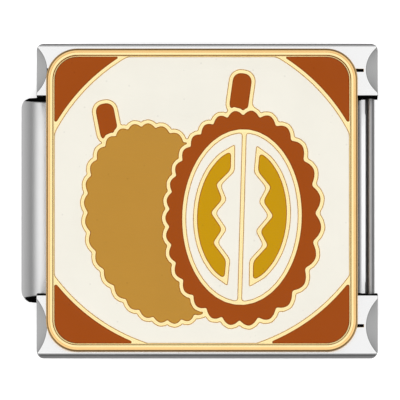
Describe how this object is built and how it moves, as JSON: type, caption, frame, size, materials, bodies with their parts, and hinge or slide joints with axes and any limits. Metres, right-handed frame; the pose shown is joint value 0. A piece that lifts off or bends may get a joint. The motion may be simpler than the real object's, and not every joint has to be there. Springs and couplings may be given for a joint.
{
  "type": "bracelet link with durian enamel plate",
  "caption": "Spring-loaded modular bracelet link: steel case over a rolled sleeve, wire bails, and a gold-rimmed enamel plate picturing a whole and a cut durian.",
  "frame": {"origin": "on the resting surface, under the middle of the link's overall box", "axes": "+X along the bracelet towards the free bail, +Y across the bracelet towards the top of the picture, +Z out of the enamel face"},
  "size_m": [0.0102, 0.009, 0.0038],
  "materials": {
    "polished_steel": "mirror-polished stainless steel with fine handling scratches",
    "spring_steel": "satin rolled spring strip",
    "bail_wire": "bright drawn stainless wire",
    "gold_plating": "polished pale gold plating",
    "cream_enamel": "glossy warm white enamel",
    "brown_enamel": "glossy terracotta brown enamel",
    "ochre_enamel": "glossy ochre enamel",
    "mustard_enamel": "glossy mustard enamel"
  },
  "bodies": {
    "case": {"case": "polished_steel", "face_plate": "gold_plating", "upper_leaf_spring": "spring_steel", "enamel_background": "cream_enamel", "enamel_whole_fruit": "ochre_enamel", "enamel_whole_stem": "brown_enamel", "enamel_cut_rind": "brown_enamel", "enamel_cut_stem": "brown_enamel", "enamel_pulp_left": "cream_enamel", "enamel_pulp_right": "cream_enamel", "enamel_lobe_left": "mustard_enamel", "enamel_lobe_right": "mustard_enamel", "enamel_corner_top_left": "brown_enamel", "enamel_corner_top_right": "brown_enamel", "enamel_corner_bottom_left": "brown_enamel", "enamel_corner_bottom_right": "brown_enamel"},
    "left_bail": {"left_bail": "bail_wire"},
    "sleeve": {"lower_sleeve": "polished_steel", "lower_leaf_spring": "spring_steel"},
    "right_bail": {"right_bail": "bail_wire"}
  },
  "joints": [
    {"name": "left_bail_pivot", "type": "hinge", "parent": "case", "child": "left_bail", "pos_m": [-0.00407, 0.00015, 0.002], "axis": [0, 1, 0], "range_deg": [0, 40], "stiffness_Nm_per_rad": 0.004},
    {"name": "sleeve_pivot", "type": "hinge", "parent": "left_bail", "child": "sleeve", "pos_m": [-0.00407, 0.00015, 0.00068], "axis": [0, 1, 0], "range_deg": [0, 15], "stiffness_Nm_per_rad": 0.004},
    {"name": "right_bail_pivot", "type": "hinge", "parent": "case", "child": "right_bail", "pos_m": [0.00492, 0.00015, 0.002], "axis": [0, -1, 0], "range_deg": [0, 90], "stiffness_Nm_per_rad": 0.001}
  ]
}
